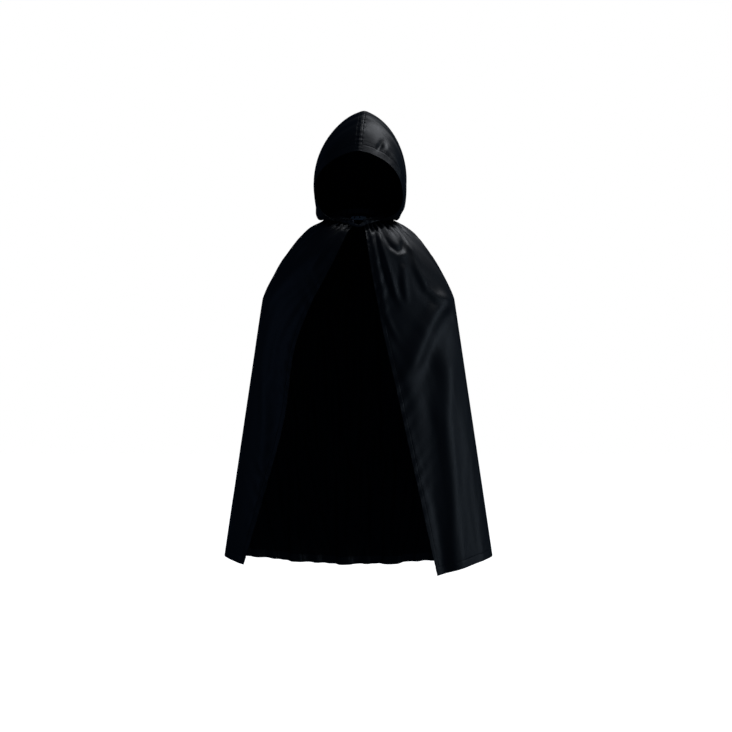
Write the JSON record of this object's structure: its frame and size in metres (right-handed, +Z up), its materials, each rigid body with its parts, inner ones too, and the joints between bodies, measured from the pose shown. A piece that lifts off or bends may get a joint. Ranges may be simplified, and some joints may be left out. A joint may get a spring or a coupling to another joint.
{
  "type": "hooded costume cape",
  "caption": "Child's hooded dress-up cape in black satin, open down the front, gathered into a neckband and closed at the throat by a snap tab.",
  "frame": {"origin": "middle of the neck opening, level with the throat closure, where the wearer's neck and shoulders hold the cape", "axes": "+Z up along the wearer, the front faces -Y, +X is the wearer's left"},
  "size_m": [0.62, 0.2879, 1.0673],
  "materials": {
    "satin": "black polyester satin, shiny face",
    "satin_inside": "dull back of the same satin",
    "tab_satin": "folded satin tab, blue-grey in the light",
    "snap_metal": "black enamelled brass snap",
    "label_tape": "white woven label tape, blank"
  },
  "bodies": {
    "cape": {"neckband": "satin", "back_panel": "satin", "back_hem": "satin_inside", "left_front_shoulder": "satin", "left_edge_hem_upper": "satin_inside", "left_side_seam": "satin_inside", "right_front_shoulder": "satin", "right_edge_hem_upper": "satin_inside", "right_side_seam": "satin_inside", "snap_socket": "snap_metal", "care_label": "label_tape"},
    "hood": {"hood_left_panel": "satin", "hood_right_panel": "satin", "hood_left_casing": "satin_inside", "hood_right_casing": "satin_inside", "hood_centre_seam": "satin_inside"},
    "left_front": {"left_front_panel": "satin", "left_edge_hem_lower": "satin_inside", "left_bottom_hem": "satin_inside"},
    "right_front": {"right_front_panel": "satin", "right_edge_hem_lower": "satin_inside", "right_bottom_hem": "satin_inside"},
    "tab": {"closure_tab": "tab_satin", "snap_stud": "snap_metal"}
  },
  "joints": [
    {"name": "hood_push_back", "type": "hinge", "parent": "cape", "child": "hood", "pos_m": [0, 0.074, 0.06], "axis": [-1, 0, 0], "range_deg": [0, 110]},
    {"name": "left_front_swing", "type": "hinge", "parent": "cape", "child": "left_front", "pos_m": [0.222, 0, -0.16], "axis": [-0.147, 0, 0.9891], "range_deg": [0, 50]},
    {"name": "right_front_swing", "type": "hinge", "parent": "cape", "child": "right_front", "pos_m": [-0.222, 0, -0.16], "axis": [-0.147, 0, -0.9891], "range_deg": [0, 50]},
    {"name": "closure_tab_open", "type": "hinge", "parent": "cape", "child": "tab", "pos_m": [0.0198, -0.0722, 0.008], "axis": [-0.1, 0, 0.995], "range_deg": [0, 150]}
  ]
}
